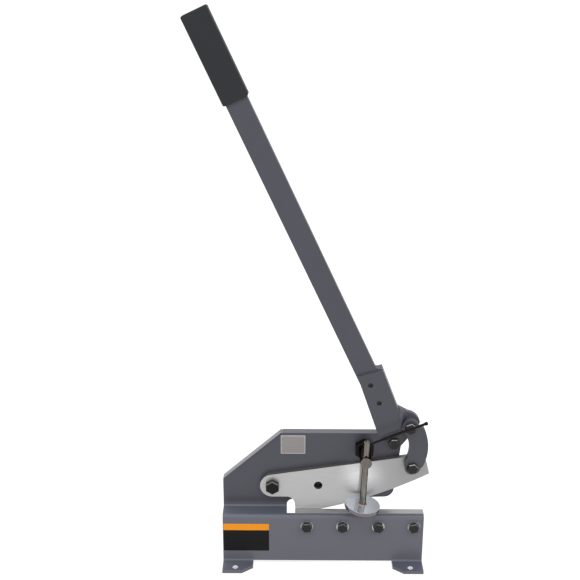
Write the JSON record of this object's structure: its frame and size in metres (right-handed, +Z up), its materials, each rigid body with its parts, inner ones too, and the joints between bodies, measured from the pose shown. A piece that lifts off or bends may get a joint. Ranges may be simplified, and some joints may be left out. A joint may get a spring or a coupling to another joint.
{
  "type": "hand plate shear",
  "caption": "Bench plate shear with a curved blade driven through a link by a long hand lever, on a bent-plate frame with bolt-down feet and a screw hold-down.",
  "frame": {"origin": "centre of the four floor bolt holes, on the floor plane", "axes": "+X along the cut to the lever's side, +Y away from the user, +Z up"},
  "size_m": [0.3817, 0.1452, 0.9013],
  "materials": {
    "frame_paint": "satin blue-grey paint",
    "lever_paint": "satin blue-grey paint",
    "grip_plastic": "matt charcoal grip",
    "blade_steel": "ground tool steel",
    "black_hardware": "black oxide",
    "bright_zinc": "bright zinc plate"
  },
  "bodies": {
    "frame": {"front_frame_plate": "frame_paint", "rear_frame_plate": "frame_paint", "fixed_blade": "blade_steel", "blade_bolt_1": "black_hardware", "blade_bolt_2": "black_hardware", "blade_bolt_3": "black_hardware", "blade_bolt_4": "black_hardware", "blade_bolt_washer_1": "bright_zinc", "blade_bolt_washer_2": "bright_zinc", "blade_bolt_washer_3": "bright_zinc", "blade_bolt_washer_4": "bright_zinc", "blade_pivot_bolt": "black_hardware", "blade_pivot_nut": "black_hardware", "lever_pivot_bolt": "black_hardware", "lever_pivot_nut": "black_hardware"},
    "lever": {"lever_plate": "lever_paint", "socket_front_plate": "lever_paint", "socket_web": "lever_paint", "handle_bar": "lever_paint", "handle_grip": "grip_plastic", "set_screw_1": "black_hardware", "set_screw_2": "black_hardware", "link_upper_bolt": "black_hardware", "link_upper_nut": "black_hardware"},
    "link": {"link": "lever_paint", "link_lower_bolt": "black_hardware", "link_lower_nut": "black_hardware"},
    "blade": {"moving_blade": "blade_steel"},
    "stud": {"hold_down_stud": "bright_zinc", "hold_down_lock_nut": "black_hardware", "hold_down_rear_nut": "black_hardware"},
    "spindle": {"hold_down_spindle": "bright_zinc", "turning_bar": "black_hardware", "pressure_disc": "bright_zinc"}
  },
  "joints": [
    {"name": "lever_hinge", "type": "hinge", "parent": "frame", "child": "lever", "pos_m": [0.1135, -0.012, 0.217], "axis": [0, 1, 0], "range_deg": [0, 100]},
    {"name": "blade_hinge", "type": "hinge", "parent": "frame", "child": "blade", "pos_m": [-0.084, -0.012, 0.136], "axis": [0, 1, 0], "range_deg": [0, 16]},
    {"name": "link_hinge", "type": "hinge", "parent": "lever", "child": "link", "pos_m": [0.138, -0.022, 0.2505], "axis": [0, 1, 0], "range_deg": [-100, 0]},
    {"name": "hold_down_swivel", "type": "hinge", "parent": "frame", "child": "stud", "pos_m": [0.066, -0.01, 0.203], "axis": [0, 1, 0], "range_deg": [-10, 10]},
    {"name": "hold_down_slide", "type": "slide", "parent": "stud", "child": "spindle", "axis": [-0.0401, 0, -0.9992], "range_m": [-0.055, 0.008]}
  ],
  "couplings": [
    {"joint": "blade_hinge", "follows": "lever_hinge", "ratio": 0.16},
    {"joint": "link_hinge", "follows": "lever_hinge", "ratio": -1}
  ]
}
